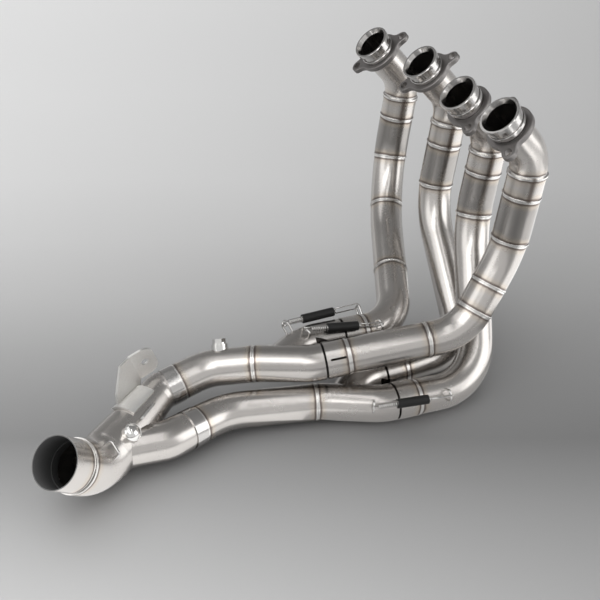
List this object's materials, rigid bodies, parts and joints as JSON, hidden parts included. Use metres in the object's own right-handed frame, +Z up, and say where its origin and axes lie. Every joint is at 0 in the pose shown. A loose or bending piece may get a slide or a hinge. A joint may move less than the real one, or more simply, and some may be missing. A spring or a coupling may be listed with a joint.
{
  "type": "motorcycle exhaust header",
  "caption": "Tubular motorcycle exhaust header: port pipes with loose bolt flanges merge in pairs, then into one upturned outlet; sprung slip joints.",
  "frame": {"origin": "centre of the outlet mouth", "axes": "+X forward along the motorcycle towards the ports, +Y to its left, +Z up; the port row runs along Y and pipe 4 is nearest to -Y"},
  "size_m": [0.6011, 0.3409, 0.3538],
  "materials": {
    "titanium_tube": "satin brushed titanium, warm grey, heat tint beside the welds",
    "turned_titanium": "fine turned, polished",
    "cast_flange": "matt blasted casting with a bright rim",
    "spring_steel": "bright drawn wire",
    "polished_plug": "polished",
    "rubber_sleeve": "matt black"
  },
  "bodies": {
    "header": {"boss_plug_lower": "polished_plug", "boss_plug_upper": "polished_plug", "collector_lower": "titanium_tube", "collector_upper": "titanium_tube", "down_tube_1_1": "titanium_tube", "down_tube_1_2": "titanium_tube", "down_tube_1_3": "titanium_tube", "down_tube_2_1": "titanium_tube", "down_tube_3_1": "titanium_tube", "down_tube_4_1": "titanium_tube", "down_tube_4_2": "titanium_tube", "down_tube_4_3": "titanium_tube", "down_tube_4_4": "titanium_tube", "final_collector": "titanium_tube", "inlet_elbow_1": "titanium_tube", "inlet_elbow_2": "titanium_tube", "inlet_elbow_3": "titanium_tube", "inlet_elbow_4": "titanium_tube", "joint_hook_tab": "titanium_tube", "joint_ring_lower": "turned_titanium", "joint_ring_upper": "turned_titanium", "mounting_bracket": "titanium_tube", "outlet_sleeve": "titanium_tube", "outlet_spring_hook": "spring_steel", "plain_section_1": "titanium_tube", "plain_section_2": "titanium_tube", "plain_section_3": "titanium_tube", "plain_section_4": "titanium_tube", "port_collar_1": "turned_titanium", "port_collar_2": "turned_titanium", "port_collar_3": "turned_titanium", "port_collar_4": "turned_titanium", "secondary_lower": "titanium_tube", "secondary_upper": "titanium_tube", "sensor_boss_lower": "polished_plug", "sensor_boss_upper": "polished_plug", "slip_sleeve_1": "titanium_tube", "slip_sleeve_2": "titanium_tube", "slip_sleeve_3": "titanium_tube", "slip_sleeve_4": "titanium_tube", "spring_far": "spring_steel", "spring_hook_far_collector": "spring_steel", "spring_hook_far_pipe": "spring_steel", "spring_hook_low_collector": "spring_steel", "spring_hook_low_pipe": "spring_steel", "spring_hook_near_collector": "spring_steel", "spring_hook_near_pipe": "spring_steel", "spring_low": "spring_steel", "spring_near": "spring_steel", "spring_sleeve_far": "rubber_sleeve", "spring_sleeve_low": "rubber_sleeve", "spring_sleeve_near": "rubber_sleeve", "stepped_sleeve_1": "titanium_tube", "stepped_sleeve_2": "titanium_tube", "stepped_sleeve_3": "titanium_tube", "stepped_sleeve_4": "titanium_tube"},
    "flange_1": {"port_flange_1": "cast_flange"},
    "flange_2": {"port_flange_2": "cast_flange"},
    "flange_3": {"port_flange_3": "cast_flange"},
    "flange_4": {"port_flange_4": "cast_flange"}
  },
  "joints": [
    {"name": "flange_1_swivel", "type": "hinge", "parent": "header", "child": "flange_1", "pos_m": [0.50753, 0.266, 0.24542], "axis": [0.682, 0, -0.7314], "continuous": true},
    {"name": "flange_2_swivel", "type": "hinge", "parent": "header", "child": "flange_2", "pos_m": [0.52253, 0.18, 0.24542], "axis": [0.682, 0, -0.7314], "continuous": true},
    {"name": "flange_3_swivel", "type": "hinge", "parent": "header", "child": "flange_3", "pos_m": [0.51994, 0.094, 0.23477], "axis": [0.682, 0, -0.7314], "continuous": true},
    {"name": "flange_4_swivel", "type": "hinge", "parent": "header", "child": "flange_4", "pos_m": [0.50957, 0.008, 0.24323], "axis": [0.682, 0, -0.7314], "continuous": true}
  ]
}
